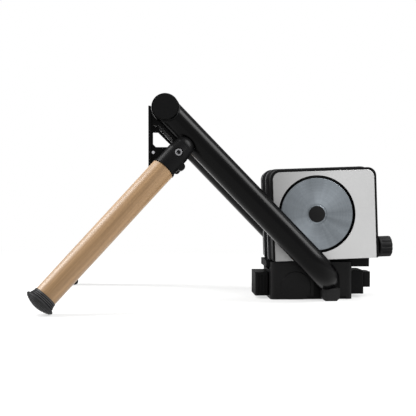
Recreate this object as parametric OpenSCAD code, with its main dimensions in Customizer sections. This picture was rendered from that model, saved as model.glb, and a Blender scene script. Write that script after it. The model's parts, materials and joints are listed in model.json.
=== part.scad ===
// Wheel-on roller trainer for a bicycle. X runs fore and aft, with the resistance unit at +X.
// The near side, with the round adjuster, is at -Y. The ground is at Z = 0.

/* [Frame] */
// X of the axle line, measured from the middle of the trainer's length
axle_x = -111; // [-130:1:-95]
// Height of the axle line above the ground
axle_z = 369; // [350:1:440]
// Outer diameter of the frame tube
tube_d = 50; // [40:1:52]
// Wall of the frame tube
tube_wall = 2.5; // [1.5:0.5:4]
// Distance of each arm's centre from the middle
arm_y = 105; // [98:1:130]
// Centreline radius of the two bends
bend_r = 60; // [50:1:62]
// Fore-aft distance from the axle line to the crossbar
crossbar_dx = 317.2; // [300:1:345]
// Height of the crossbar's centre
crossbar_z = 40.8; // [38:0.2:44]
// Free length of each rubber pad under the bends, along X
pad_length = 34; // [24:1:40]
// Width of each rubber pad
pad_width = 22; // [14:1:26]

/* [Axle clamps] */
// Outer diameter of the clamp housings
housing_d = 51; // [48:1:60]
// Inner end of each clamp housing, from the middle
housing_inner_y = 74; // [70:1:80]
// Outer end of each clamp housing, from the middle
housing_outer_y = 130; // [126:1:150]
// Outer diameter of the axle cups
cup_d = 30; // [26:1:34]
// Mouth of each cup at rest, from the middle
cup_mouth_y = 68; // [60:1:70]
// Overall length of each cup
cup_length = 26; // [20:1:30]
// Diameter of the recess that takes the end of the axle
cup_recess_d = 20; // [16:1:22]
// Depth of that recess
cup_recess_depth = 12; // [8:1:14]
// Diameter of the spindle behind each cup
spindle_d = 12; // [10:1:14]
// Diameter of the adjuster knob
knob_d = 46.5; // [40:0.5:50]
// Thickness of the adjuster knob's disc
knob_thickness = 6.5; // [5:0.5:10]
// Diameter of the knob's threaded sleeve
sleeve_d = 22; // [18:1:24]
// Length of the clamp lever above its pin
lever_length = 50; // [30:1:60]
// Width of the clamp lever
lever_width = 19; // [14:1:22]
// Diameter of the lever's pin
lever_pin_d = 6; // [5:0.5:8]
// Radius of the lever's cam
cam_r = 12; // [10:0.5:13]
// Distance the right cup draws back when the lever opens
clamp_travel = 8; // [5:0.5:9]

/* [Legs] */
// Fore-aft distance from the axle line to the leg's hinge
hinge_dx = 19.9; // [16:0.5:24]
// Drop from the axle line down to the leg's hinge
hinge_drop = 89.4; // [86:0.2:93]
// Distance of the leg's hinge from the middle
hinge_y = 134.8; // [133:0.5:142]
// Lean of the leg in the side view, from vertical
leg_lean = 42.5; // [35:0.5:46]
// Sideways splay of the leg
leg_splay = 16.2; // [12:0.2:18]
// Diameter of the wooden leg at the top
leg_top_d = 45; // [38:0.5:46]
// Diameter of the wooden leg at the foot
leg_bottom_d = 42.5; // [36:0.5:45]
// Outer diameter of the metal socket
socket_d = 46.5; // [44:0.5:47]
// Distance from the hinge down to the top of the wood
socket_drop = 36.5; // [36:0.5:44]
// Diameter of the socket's spigot inside the wood
spigot_d = 30; // [24:1:32]
// Length of that spigot
spigot_length = 34; // [24:1:50]
// Distance from the hinge to the centre of the socket's round end
tip_centre = 19; // [15:0.5:20]
// Diameter of the leg's hinge bolt
hinge_bolt_d = 10; // [8:1:12]
// Diameter of the rubber foot at its rim
foot_d = 57; // [50:1:60]
// Height of the rubber foot
foot_height = 17.5; // [16:0.5:30]
// Depth the wood reaches into the rubber foot
foot_depth = 14; // [8:1:14]
// Angle that the leg folds through
fold_angle = 86; // [80:1:86]
// Thickness of the leg bracket's web
web_thickness = 5; // [4:0.5:6]
// Width of the leg bracket's flange
flange_width = 20; // [14:1:22]

/* [Base] */
// Length of the base housing
base_length = 162; // [150:1:175]
// Width of the base housing
base_width = 116; // [108:1:124]
// Top of the base housing above the ground
base_top = 74; // [72:0.5:76]
// Gap under the base housing
base_clear = 1; // [1:0.5:3]
// Distance from the axle line to the base's front end
base_dx = 206.5; // [198:0.5:212]
// Thickness of the base's side walls
base_wall = 14; // [12:1:16]
// Radius of the base's upright corners
base_corner = 9; // [6:1:11]
// Distance from the axle line to the pin that the unit tilts on
pivot_dx = 256; // [250:1:260]
// Height of that pin
pivot_z = 26; // [24:1:30]
// Diameter of that pin
pivot_d = 12; // [10:1:14]

/* [Resistance unit] */
// Lean of the unit towards the wheel at rest
unit_lean = 2; // [0:0.5:3]
// Length of the unit's side face
face_length = 198; // [190:1:206]
// Height of the unit's side face
face_height = 172; // [168:1:180]
// Black border round the silver face
border = 4.5; // [3:0.5:7]
// Outer corner radius of the shells
shell_corner = 17; // [10:1:20]
// Wall of the shells
shell_wall = 3.5; // [2.5:0.5:5]
// Outer face of each shell, from the middle
shell_outer_y = 77; // [72:1:84]
// Half width of the channel that the tyre runs in
channel_half = 27; // [25:1:28]
// Thickness of the two bearing plates
plate_thickness = 5; // [4:0.5:6]
// Distance of the roller behind the pin, along the unit
roller_dx = 43.2; // [40:0.5:46]
// Height of the roller above the pin
roller_dz = 141; // [138:0.5:145]
// Diameter of the roller
roller_d = 40; // [34:1:44]
// Diameter of the roller's shaft
shaft_d = 12; // [10:1:14]
// Diameter of the flywheel
flywheel_d = 142.6; // [130:0.2:146]
// Thickness of the flywheel
flywheel_thickness = 20; // [14:1:24]
// Gap round the flywheel in the silver face
flywheel_gap = 4; // [3:0.5:6]
// Silver margin in front of the flywheel's window
front_margin = 8.5; // [7:0.5:20]
// Silver margin below the flywheel's window
bottom_margin = 13.4; // [12:0.2:20]
// Diameter of the cap over the shaft's end
hub_d = 32; // [24:1:36]
// Height of the tension screw above the pin
screw_dz = 68; // [66:1:72]
// Diameter of the tension screw
screw_d = 8; // [6:1:10]
// Diameter of the tension knob
tension_knob_d = 42; // [34:1:46]
// Length of the tension knob
tension_knob_length = 27; // [20:1:32]

/* [Hidden] */

$fn = 64;
// Gap between pieces that are bolted, welded or seated together
seat = 0.3;
// Radial clearance of turning and sliding fits
running = 0.05;
// Small overlap that carries a cut past a face
past = 1;
tube_r = tube_d / 2;
arm_angle = atan2(axle_z - crossbar_z, crossbar_dx);
arm_length = sqrt(pow(axle_z - crossbar_z, 2) + pow(crossbar_dx, 2));
straight_end = arm_length - bend_r;
crossbar_half = arm_y - bend_r;
crossbar_x = axle_x + crossbar_dx;
pivot_x = axle_x + pivot_dx;
base_x = axle_x + base_dx;
hinge_z = axle_z - hinge_drop;
base_inner = base_width / 2 - base_wall;
window_r = flywheel_d / 2 + flywheel_gap;
face_x = roller_dx - window_r - front_margin;
face_z = roller_dz - window_r - bottom_margin;
shell_x = face_x - border;
shell_length = face_length + 2 * border;
shell_height = face_height + border;
plate_y = channel_half + plate_thickness;

// A rectangle in the XY plane whose four corners are rounded
module rounded_rect(length, height, r) {
  translate([r, 0]) square([length - 2 * r, height]);
  translate([0, r]) square([length, height - 2 * r]);
  for (x = [r, length - r], y = [r, height - r])
    translate([x, y]) circle(r);
}

// A rectangle with rounded upper corners and small lower ones
module face_outline(length, height, r_top, r_low) {
  translate([r_top, 0]) square([length - 2 * r_top, height]);
  translate([0, r_low]) square([length, height - r_top - r_low]);
  translate([r_low, 0]) square([length - 2 * r_low, r_low + past]);
  for (x = [r_top, length - r_top]) translate([x, height - r_top]) circle(r_top);
  for (x = [r_low, length - r_low]) translate([x, r_low]) circle(r_low);
}

// Stands a flat XZ outline up between two distances from the middle
module slab(y_low, y_high) {
  translate([0, y_high, 0]) rotate([90, 0, 0]) linear_extrude(y_high - y_low) children();
}

// A round bar along Y between two distances from the middle
module bar_y(y_low, y_high, d) {
  translate([0, y_low, 0]) rotate([-90, 0, 0]) cylinder(h = y_high - y_low, d = d);
}

// A round bar along X between two positions
module bar_x(x_low, x_high, d) {
  translate([x_low, 0, 0]) rotate([0, 90, 0]) cylinder(h = x_high - x_low, d = d);
}

module far_side() { mirror([0, 1, 0]) children(); }
module at_axle() { translate([axle_x, 0, axle_z]) children(); }
module at_arm() { translate([axle_x, 0, axle_z]) rotate([0, arm_angle, 0]) children(); }
module at_crossbar() { translate([crossbar_x, 0, crossbar_z]) children(); }
module at_unit() { translate([pivot_x, 0, pivot_z]) rotate([0, -unit_lean, 0]) children(); }
module at_pivot() { translate([pivot_x, 0, pivot_z]) children(); }

// The near leg's own frame: origin on the hinge, +Z up along the leg, +Y inboard along the hinge
module at_leg() {
  translate([axle_x + hinge_dx, -hinge_y, hinge_z])
    rotate([0, leg_lean, 0]) rotate([-leg_splay, 0, 0]) children();
}

// The bent frame tube's solid outline: two arms, two bends and the crossbar
module tube_outline(d) {
  at_arm() {
    for (side = [-1, 1]) {
      translate([0, side * arm_y, 0]) bar_x(0, straight_end, d);
      translate([straight_end, side * crossbar_half, 0])
        rotate([0, 0, side > 0 ? 0 : -90])
          rotate_extrude(angle = 90) translate([bend_r, 0]) circle(d = d);
    }
    translate([arm_length, 0, 0]) bar_y(-crossbar_half, crossbar_half, d);
  }
}

// One bent tube, open at the coped ends that meet the clamp housings
module frame_tube() {
  color("#1b1b1d") difference() {
    tube_outline(tube_d);
    tube_outline(tube_d - 2 * tube_wall);
    at_axle() bar_y(-housing_outer_y - past, housing_outer_y + past, housing_d + 2 * seat);
  }
}

pad_y = crossbar_half + 0.45 * bend_r;
pad_x = crossbar_x + 4;
pad_top = 24;
pad_taper = 6;

// A rubber block under each bend, hollowed to sit against the tube
module frame_pads() {
  color("#222224") difference() {
    for (side = [-1, 1])
      slab(side * pad_y - pad_width / 2, side * pad_y + pad_width / 2)
        translate([pad_x - pad_length / 2, 0])
          polygon([[pad_taper, 0], [pad_length - pad_taper, 0], [pad_length, pad_taper],
                   [pad_length, pad_top], [0, pad_top], [0, pad_taper]]);
    tube_outline(tube_d + 2 * seat);
  }
}

adjust_travel = 6;
chamber_y = cup_mouth_y + cup_length + clamp_travel + 2;
key_y = housing_inner_y + 12;
key_d = 5;
key_depth = 3;
key_tip = cup_d / 2 - key_depth + seat;
spring_y = housing_outer_y - 18;
spring_d = spindle_d + 8;
clevis_base = 4;
head_d = spindle_d + 6;
head_y = housing_outer_y + 1;
head_thickness = 4;
cam_offset = clamp_travel / 2;
lever_pin_y = head_y + head_thickness + seat + cam_r + cam_offset;
ear_inner = lever_width / 2 + 0.5;
ear_thickness = 5;
ear_height = 24;
lever_thickness = 8;

// A clamp housing on the +Y side, bored for the cup and for what drives the cup
module clamp_housing(back_bore) {
  difference() {
    bar_y(housing_inner_y, housing_outer_y, housing_d);
    bar_y(housing_inner_y - past, chamber_y, cup_d + 2 * running);
    bar_y(chamber_y - past, housing_outer_y + past, back_bore);
    translate([0, key_y, -housing_d]) cylinder(h = housing_d, d = key_d + 2 * running);
  }
}

module left_clamp_housing() {
  color("#202022") far_side() at_axle() clamp_housing(sleeve_d + 2 * running);
}

// The far housing has a pocket for the return spring behind its guide bore
module right_clamp_housing() {
  color("#202022") at_axle() difference() {
    clamp_housing(spindle_d + 2 * running);
    bar_y(spring_y, housing_outer_y + past, spring_d + 2 * seat);
  }
}

// A cup with its axle recess and the slot that keeps it from turning
module axle_cup_body() {
  difference() {
    bar_y(cup_mouth_y, cup_mouth_y + cup_length, cup_d);
    bar_y(cup_mouth_y - past, cup_mouth_y + cup_recess_depth, cup_recess_d);
    translate([-key_d / 2 - running, key_y - clamp_travel - key_d / 2 - seat, -cup_d])
      cube([key_d + 2 * running, cup_length, cup_d / 2 + key_depth]);
  }
}

module left_axle_cup() {
  color("#8d8f92") far_side() at_axle() {
    axle_cup_body();
    bar_y(cup_mouth_y + cup_length, housing_outer_y - adjust_travel - 2, spindle_d);
  }
}

module right_axle_cup() {
  color("#8d8f92") at_axle() {
    axle_cup_body();
    bar_y(cup_mouth_y + cup_length, head_y, spindle_d);
    bar_y(head_y, head_y + head_thickness, head_d);
  }
}

// The round knob on the near side turns a threaded sleeve round the cup's spindle
module left_adjuster_knob() {
  color("#29292b") far_side() at_axle() difference() {
    union() {
      bar_y(chamber_y + seat, housing_outer_y + 2 * seat, sleeve_d);
      bar_y(housing_outer_y + seat, housing_outer_y + seat + knob_thickness, knob_d);
    }
    bar_y(chamber_y - past, housing_outer_y, spindle_d + 2 * running);
  }
}

// Two grub screws from below, each with its tip in a cup's slot
module cup_key_screws() {
  color("#55575a") at_axle()
    for (side = [-1, 1])
      translate([0, side * key_y, -housing_d / 2]) cylinder(h = housing_d / 2 - key_tip, d = key_d);
}

// The coil that pushes the far cup back, drawn as a plain sleeve inside its pocket
module return_spring() {
  color("#b4b6b8") at_axle() difference() {
    bar_y(spring_y + seat, head_y - seat, spring_d - 1);
    bar_y(spring_y, head_y, spindle_d + 2);
  }
}

// The fork on the far housing's end that carries the lever's pin
module lever_clevis() {
  color("#262628") at_axle() difference() {
    union() {
      bar_y(housing_outer_y + seat, housing_outer_y + seat + clevis_base, housing_d - 2);
      for (side = [-1, 1])
        translate([side * (ear_inner + ear_thickness / 2) - ear_thickness / 2,
                   housing_outer_y + clevis_base, -ear_height / 2])
          cube([ear_thickness, lever_pin_y - housing_outer_y - clevis_base + lever_pin_d + 3, ear_height]);
    }
    bar_y(housing_outer_y, housing_outer_y + 2 * clevis_base, head_d + 2);
    translate([0, lever_pin_y, 0])
      bar_x(-ear_inner - 2 * ear_thickness, ear_inner + 2 * ear_thickness, lever_pin_d + 2 * running);
  }
}

module lever_pin() {
  color("#a9abae") at_axle() translate([0, lever_pin_y, 0]) {
    bar_x(-ear_inner - ear_thickness - 1.5, ear_inner + ear_thickness + 1.5, lever_pin_d);
    bar_x(ear_inner + ear_thickness + seat, ear_inner + ear_thickness + 2.5, lever_pin_d + 4);
    bar_x(-ear_inner - ear_thickness - 2.5, -ear_inner - ear_thickness - seat, lever_pin_d + 4);
  }
}

// A cam lever: its round cam presses the far spindle, and its flat arm stands up when closed
module clamp_lever() {
  color("#1e1e20") at_axle() translate([0, lever_pin_y, 0]) difference() {
    union() {
      translate([0, -cam_offset, cam_offset]) bar_x(-lever_width / 2, lever_width / 2, 2 * cam_r);
      translate([-lever_width / 2, -lever_thickness / 2, 0])
        cube([lever_width, lever_thickness, lever_length - lever_width / 2]);
      translate([0, 0, lever_length - lever_width / 2])
        bar_y(-lever_thickness / 2, lever_thickness / 2, lever_width);
    }
    bar_x(-lever_width, lever_width, lever_pin_d + 2 * running);
  }
}

web_y = hinge_y - 30.8;
web_far = web_y + web_thickness;
flange_x = -31;
flange_thickness = 4.5;
flange_low = hinge_z - 20.6;
flange_high = axle_z + 3;
window_low = hinge_z + 16;
window_high = hinge_z + 57;
rivet_x = -22;
rivet_z = hinge_z + 6;
rivet_d = 4;
rivet_head_d = 5.6;
tongue_face = -9;
tongue_low = -33;
boss_r = 15;
boss_face = tongue_face + seat;
boss_end = (hinge_y - web_y) / cos(leg_splay) + 2;
plate_end = boss_face + web_thickness;
stop_r = 25.2;
stop_angle = 35.6;
stop_pin_d = 6;
stop_arm = 12;
stop_step = asin((stop_arm / 2 + stop_pin_d / 2 + seat) / stop_r);
stop_arm_length = 28;
lug_r = 8;
head_seat = -18.5;
bolt_head_d = 13;
bolt_head_height = 4;
nut_d = 18;
nut_height = 7;
tip_r = socket_d / 2 - 2.2;
leg_tilt = acos(cos(leg_splay) * cos(leg_lean));
ground_bite = 0.4;
rim_l = (hinge_z - foot_d / 2 * sin(leg_tilt) + ground_bite) / cos(leg_tilt);
wood_end = rim_l - foot_height + foot_depth;
sole_crown = 8;
groove_depth = 2;

// One bracket's web, in the side view, before it is cut to the tube and the housing
module web_outline() {
  difference() {
    translate([axle_x, 0])
      polygon([[flange_x, flange_low], [5, flange_low], [30, flange_low + 7], [46, hinge_z + 5],
               [60, axle_z - 62 * tan(arm_angle)], [0, axle_z], [flange_x, flange_high]]);
    translate([axle_x, 0])
      polygon([[-23, window_high], [-12, window_high], [-4, window_high - 8], [14, window_high - 26],
               [14, window_low], [-17, window_low], [-23, window_low + 6]]);
  }
}

// A folded-steel bracket: upright flange, web, tilted hinge boss and two stop arms
module leg_bracket() {
  difference() {
    union() {
      slab(-web_far, -web_y) web_outline();
      translate([axle_x + flange_x, -web_y - flange_width * 0.8, flange_low])
        cube([flange_thickness, flange_width, flange_high - flange_low]);
      at_leg() {
        bar_y(boss_face, boss_end, 2 * boss_r);
        for (angle = [stop_angle + stop_step, stop_angle - fold_angle - stop_step])
          rotate([0, angle, 0])
            translate([0, boss_face, -stop_arm / 2]) cube([stop_arm_length, web_thickness, stop_arm]);
      }
    }
    at_leg() bar_y(boss_face - past, boss_end + past, hinge_bolt_d + 2 * running);
    tube_outline(tube_d + 2 * seat);
    at_axle() bar_y(-2 * arm_y, 0, housing_d + 2 * seat);
    translate([axle_x + rivet_x, -web_y, rivet_z])
      bar_y(-2 * web_thickness, web_thickness, rivet_d + 2 * running);
  }
}

module left_leg_bracket() { color("#19191b") leg_bracket(); }
module right_leg_bracket() { color("#19191b") far_side() leg_bracket(); }

// One rivet through each web
module bracket_rivets() {
  color("#c4c6c8")
    for (side = [0, 1]) mirror([0, side, 0])
      translate([axle_x + rivet_x, 0, rivet_z]) {
        bar_y(-web_far - 2, -web_y + 1.5, rivet_d);
        bar_y(-web_far - 2, -web_far - seat, rivet_head_d);
        bar_y(-web_y + seat, -web_y + 1.5, rivet_head_d);
      }
}

// The socket-head bolt and nut that a leg turns on
module hinge_bolt() {
  at_leg() {
    difference() {
      bar_y(head_seat - seat - bolt_head_height, head_seat - seat, bolt_head_d);
      translate([0, head_seat - 2 * bolt_head_height, 0]) rotate([-90, 0, 0])
        cylinder(h = 2 * bolt_head_height - seat - 1.5, d = bolt_head_d * 0.68, $fn = 6);
    }
    bar_y(head_seat - 2 * seat, boss_end + nut_height + 2, hinge_bolt_d);
    translate([0, boss_end + seat, 0]) rotate([-90, 0, 0]) cylinder(h = nut_height, d = nut_d, $fn = 6);
  }
}

module left_hinge_bolt() { color("#cfd1d3") hinge_bolt(); }
module right_hinge_bolt() { color("#cfd1d3") far_side() hinge_bolt(); }

tip_step = 6;
socket_profile = concat([[0, -socket_drop], [socket_d / 2, -socket_drop], [socket_d / 2, 2]],
                        [for (a = [0 : tip_step : 84]) [tip_r * cos(a), tip_centre + tip_r * sin(a)]],
                        [[0, tip_centre + tip_r]]);

// A round-ended socket with a half-thick tongue, a stop lug and a spigot for the wood
module leg_socket() {
  at_leg() difference() {
    union() {
      rotate_extrude() polygon(socket_profile);
      translate([0, 0, -socket_drop - spigot_length]) cylinder(h = spigot_length + past, d = spigot_d);
      rotate([0, stop_angle, 0]) translate([stop_r, 0, 0])
        bar_y(tongue_face - 7, tongue_face + past, 2 * lug_r);
    }
    translate([-socket_d, tongue_face, tongue_low]) cube([2 * socket_d, socket_d, 2 * socket_d]);
    bar_y(-socket_d, 0, hinge_bolt_d + 2 * running);
    bar_y(-socket_d, head_seat, bolt_head_d + 4);
    rotate([0, stop_angle, 0]) translate([stop_r, 0, 0])
      bar_y(tongue_face - 5, tongue_face + past, stop_pin_d + 2 * running);
  }
}

module left_leg_socket() { color("#2a2a2d") leg_socket(); }
module right_leg_socket() { color("#2a2a2d") far_side() leg_socket(); }

// The pin in the socket's lug that meets the bracket's stop arms at both ends of the fold
module stop_pin() {
  at_leg() rotate([0, stop_angle, 0]) translate([stop_r, 0, 0])
    bar_y(tongue_face - 5 + seat, plate_end - seat, stop_pin_d);
}

module left_stop_pin() { color("#77797c") stop_pin(); }
module right_stop_pin() { color("#77797c") far_side() stop_pin(); }

// A turned wooden leg, a little thinner at the foot, bored for the spigot
module wooden_leg() {
  at_leg() difference() {
    translate([0, 0, -wood_end])
      cylinder(h = wood_end - socket_drop - seat, d1 = leg_bottom_d, d2 = leg_top_d);
    translate([0, 0, -socket_drop - spigot_length - 2])
      cylinder(h = spigot_length + 2 * past, d = spigot_d + 2 * running);
  }
}

module left_wooden_leg() { color("#c9a27a") wooden_leg(); }
module right_wooden_leg() { color("#c9a27a") far_side() wooden_leg(); }

// A flared rubber cup with a crowned, ringed sole, worn flat where it meets the ground
module rubber_foot() {
  rim_r = foot_d / 2;
  collar_r = leg_bottom_d / 2 + 1.5;
  crown_r = (rim_r * rim_r + sole_crown * sole_crown) / (2 * sole_crown);
  difference() {
    at_leg() difference() {
      union() {
        translate([0, 0, -rim_l])
          rotate_extrude() polygon([[0, 0], [rim_r, 0], [rim_r, 2.5], [collar_r + 3, foot_height * 0.35],
                                    [collar_r + 1, foot_height * 0.65], [collar_r, foot_height],
                                    [0, foot_height]]);
        intersection() {
          translate([0, 0, -rim_l - sole_crown + crown_r]) sphere(r = crown_r, $fn = 128);
          translate([0, 0, -rim_l - sole_crown - past]) cylinder(h = sole_crown + past + 1, r = rim_r);
        }
      }
      translate([0, 0, -wood_end - seat])
        cylinder(h = foot_height + sole_crown, d = leg_bottom_d + 2 * seat + 0.2);
      for (ring = [rim_r * 0.3 : rim_r * 0.22 : rim_r * 0.8])
        translate([0, 0, -rim_l - sole_crown - past]) difference() {
          cylinder(h = sole_crown + past, r = ring + 1);
          translate([0, 0, -past]) cylinder(h = sole_crown + 3 * past, r = ring - 1);
          translate([0, 0, crown_r + past]) sphere(r = crown_r - groove_depth, $fn = 128);
        }
    }
    translate([-500, -500, -100]) cube([1000, 500, 100]);
  }
}

module left_rubber_foot() { color("#1c1c1d") rubber_foot(); }
module right_rubber_foot() { color("#1c1c1d") far_side() rubber_foot(); }

base_bottom = base_clear;
floor_z = 8;
end_wall = 6;
end_wall_top = 57;
arch_r = 29;
arch_rise = 1.6;
saddle_half = tube_r;
flange_half = tube_r + 13;
saddle_flange = 5;
saddle_screw_d = 6;
saddle_screw_length = 24;
saddle_screw_dx = tube_r + 7;
saddle_screw_y = base_width / 2 - base_wall / 2;
base_end = base_x + base_length;
post_half = 10;
post_width = 22;
nut_barrel_d = 16;
nut_barrel_length = 20;
chassis_half = base_inner - 4;
chassis_front = pivot_x - 56;
chassis_back = pivot_x + 150;
chassis_low = base_top - 11;
chassis_lug = 28;

module at_saddle_screws() {
  for (x = [-saddle_screw_dx, saddle_screw_dx], y = [-saddle_screw_y, saddle_screw_y])
    translate([crossbar_x + x, y, base_bottom]) children();
}

// A moulded trough that sits astride the crossbar, with an arch raised over the pin on each side
module base_housing() {
  color("#1d1d1f") difference() {
    union() {
      translate([base_x, -base_width / 2, base_bottom])
        linear_extrude(base_top - base_bottom) rounded_rect(base_length, base_width, base_corner);
      intersection() {
        at_pivot() bar_y(-base_width / 2 - arch_rise, base_width / 2 + arch_rise, 2 * arch_r);
        translate([base_x, -base_width, base_bottom]) cube([base_length, 2 * base_width, base_top]);
      }
    }
    translate([base_x + end_wall, -base_inner, floor_z])
      cube([base_length - 2 * end_wall, 2 * base_inner, base_top]);
    translate([base_x - past, -base_inner, end_wall_top])
      cube([base_length + 2 * past, 2 * base_inner, base_top]);
    at_crossbar() bar_y(-base_width, base_width, tube_d + 2 * seat);
    translate([crossbar_x - tube_r - seat, -base_width, -past])
      cube([tube_d + 2 * seat, 2 * base_width, crossbar_z + past]);
    translate([crossbar_x - flange_half - seat, -base_width, -past])
      cube([2 * flange_half + 2 * seat, 2 * base_width, base_bottom + saddle_flange + seat + past]);
    tube_outline(tube_d + 2 * seat);
    at_saddle_screws() cylinder(h = saddle_screw_length + past, d = saddle_screw_d + 2 * running);
    at_pivot() bar_y(-base_width / 2 + 3, base_width / 2 - 3, pivot_d + 2 * running);
    for (side = [-1, 1])
      translate([crossbar_x - flange_half + 5, side * base_width / 2 - 0.8, base_bottom])
        cube([1.2, 1.6, base_top]);
  }
}

// The lower half of the seat round the crossbar, with a screwed flange fore and aft
module crossbar_saddle() {
  color("#2b2b2e") difference() {
    union() {
      translate([crossbar_x - saddle_half, -base_width / 2 + 1, base_bottom])
        cube([2 * saddle_half, base_width - 2, crossbar_z - base_bottom]);
      translate([crossbar_x - flange_half, -base_width / 2 + 1, base_bottom])
        cube([2 * flange_half, base_width - 2, saddle_flange]);
    }
    tube_outline(tube_d + 2 * seat);
    at_saddle_screws() {
      translate([0, 0, -past]) cylinder(h = saddle_flange + 2 * past, d = saddle_screw_d + 2 * running);
      translate([0, 0, -past]) cylinder(h = 3 + past, d = saddle_screw_d + 5);
    }
  }
}

module saddle_screws() {
  color("#8a8c8f") at_saddle_screws() difference() {
    union() {
      translate([0, 0, seat]) cylinder(h = saddle_screw_length - 1, d = saddle_screw_d);
      translate([0, 0, seat]) cylinder(h = 3 - 2 * seat, d = saddle_screw_d + 4);
    }
    cylinder(h = 1.8, d = saddle_screw_d * 0.6);
  }
}

block_length = 27;
block_half = 35;
block_low = 6;
block_high = 52.5;

// A ribbed block on the base's front end
module front_end_block() {
  color("#202023") difference() {
    translate([base_x - block_length - seat, -block_half, block_low])
      linear_extrude(block_high - block_low) rounded_rect(block_length, 2 * block_half, 3);
    for (x = [6 : 6 : 20], side = [-1, 1])
      translate([base_x - block_length + x, side * block_half - 1.5, block_low + 5])
        cube([2, 3, block_high - block_low - 10]);
  }
}

// A plain block on the base's rear end
module rear_end_block() {
  color("#202023")
    translate([base_end + seat, -block_half + 5, block_low + 1.6])
      linear_extrude(block_high - block_low) rounded_rect(29, 2 * block_half - 10, 3);
}

// A smaller cap behind the rear block
module rear_end_cap() {
  color("#2a2a2d")
    translate([base_end + 29 + 2 * seat, -20, 20]) linear_extrude(30.5) rounded_rect(16, 40, 4);
}

module unit_pivot_pin() {
  color("#9b9da0") at_pivot() bar_y(-base_width / 2 + 3 + seat, base_width / 2 - 3 - seat, pivot_d);
}

// A post on the base's floor: the pin runs through its foot and the barrel nut lies in its head
module tension_post() {
  color("#3a3a3d") difference() {
    translate([pivot_x - post_half, -post_width / 2, floor_z + seat])
      cube([2 * post_half, post_width, pivot_z + screw_dz + post_half + 3 - floor_z]);
    at_pivot() bar_y(-post_width, post_width, pivot_d + 2 * running);
    at_unit() translate([0, 0, screw_dz]) {
      bar_y(-post_width, post_width, nut_barrel_d + 2 * running);
      bar_x(-3 * post_half, 3 * post_half, screw_d + 3);
    }
  }
}

// The barrel nut that the tension screw is threaded through
module tension_nut() {
  color("#b08d4a") at_unit() translate([0, 0, screw_dz]) difference() {
    bar_y(-nut_barrel_length / 2, nut_barrel_length / 2, nut_barrel_d);
    bar_x(-nut_barrel_d, nut_barrel_d, screw_d + 2 * seat);
  }
}

// The unit's foot: a deck over the base, arched over the crossbar, with two hinge lugs
module unit_chassis() {
  deck_rise = tan(unit_lean);
  deck_top = pivot_z + (face_z - seat) / cos(unit_lean);
  color("#232326") difference() {
    union() {
      slab(-chassis_half, chassis_half)
        polygon([[chassis_front, chassis_low], [chassis_back, chassis_low],
                 [chassis_back, deck_top + (chassis_back - pivot_x) * deck_rise],
                 [chassis_front, deck_top + (chassis_front - pivot_x) * deck_rise]]);
      for (side = [-1, 1])
        translate([pivot_x - chassis_lug / 2, side * (chassis_half + post_half + 9) / 2 - 8, pivot_z])
          cube([chassis_lug, 16, chassis_low - pivot_z + past]);
      for (side = [-1, 1])
        at_pivot() translate([0, side * (chassis_half + post_half + 9) / 2, 0]) bar_y(-8, 8, chassis_lug);
    }
    at_crossbar() bar_y(-base_width, base_width, tube_d + 9);
    at_pivot() bar_y(-base_width, base_width, pivot_d + 2 * running);
    translate([pivot_x - post_half - 7, -post_width / 2 - 2, chassis_low - past])
      cube([2 * post_half + 14, post_width + 4, base_top]);
  }
}

bearing_d = 32;
bearing_width = 10;
bearing_boss = 14;
screw_hole = 4;
plate_edge = 3.8;
rotor_d = 110;
rotor_y = plate_y + bearing_boss + 4;
carrier_y = rotor_y + 7.5;
shell_screw_spots = [for (x = [shell_x + 12, shell_x + shell_length - 12],
                          z = [face_z + 12, face_z + shell_height - 14]) [x, z]];

module at_roller() { at_unit() translate([roller_dx, 0, roller_dz]) children(); }

// Every shell screw's axis; children run along +Y
module at_shell_screws() {
  at_unit() for (spot = shell_screw_spots) translate([spot[0], 0, spot[1]]) children();
}

// A bearing plate on the +Y side with its bearing boss
module bearing_plate() {
  difference() {
    union() {
      at_unit() slab(channel_half, plate_y)
        translate([shell_x - plate_edge, face_z])
          face_outline(shell_length + plate_edge, shell_height + plate_edge - 1,
                       shell_corner + plate_edge, 3);
      at_roller() bar_y(channel_half, plate_y + bearing_boss, bearing_d + 12);
    }
    at_roller() bar_y(plate_y - 1, plate_y + bearing_boss + past, bearing_d + 2 * running);
    at_roller() bar_y(channel_half - past, plate_y + past, shaft_d + 8);
    at_shell_screws() bar_y(channel_half - past, plate_y + past, screw_hole + 2 * running);
    at_shell_screws() bar_y(channel_half - past, channel_half + 2.3, 2 * screw_hole + 0.6);
  }
}

module near_bearing_plate() { color("#b9bbbe") far_side() bearing_plate(); }
module far_bearing_plate() { color("#b9bbbe") bearing_plate(); }

module shell_wall_outline(inset) {
  translate([shell_x + inset, face_z + inset])
    face_outline(shell_length - 2 * inset, shell_height - 2 * inset, shell_corner - inset / 2, 3);
}

// A shell on the +Y side: a deep tray with four screw posts, open towards the channel
module shell_tray(outer) {
  difference() {
    at_unit() slab(plate_y + seat, outer) shell_wall_outline(0);
    difference() {
      at_unit() slab(plate_y, outer - shell_wall) shell_wall_outline(shell_wall);
      at_shell_screws() bar_y(plate_y, outer, 10);
    }
    at_shell_screws() bar_y(plate_y, outer - shell_wall, screw_hole + 2 * running);
  }
}

face_recess = 1.8;
face_sheet = 1.5;

// The near shell, with a recess for the silver face and a round window for the flywheel
module near_shell() {
  color("#17171a") difference() {
    far_side() shell_tray(shell_outer_y - 0.5);
    at_unit() slab(-shell_outer_y - past, -shell_outer_y + face_recess)
      translate([face_x - seat, face_z - past])
        face_outline(face_length + 2 * seat, face_height + past + seat, shell_corner - border + 2, 1);
    at_roller() bar_y(-shell_outer_y - past, -plate_y - bearing_boss, 2 * window_r);
  }
}

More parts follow.
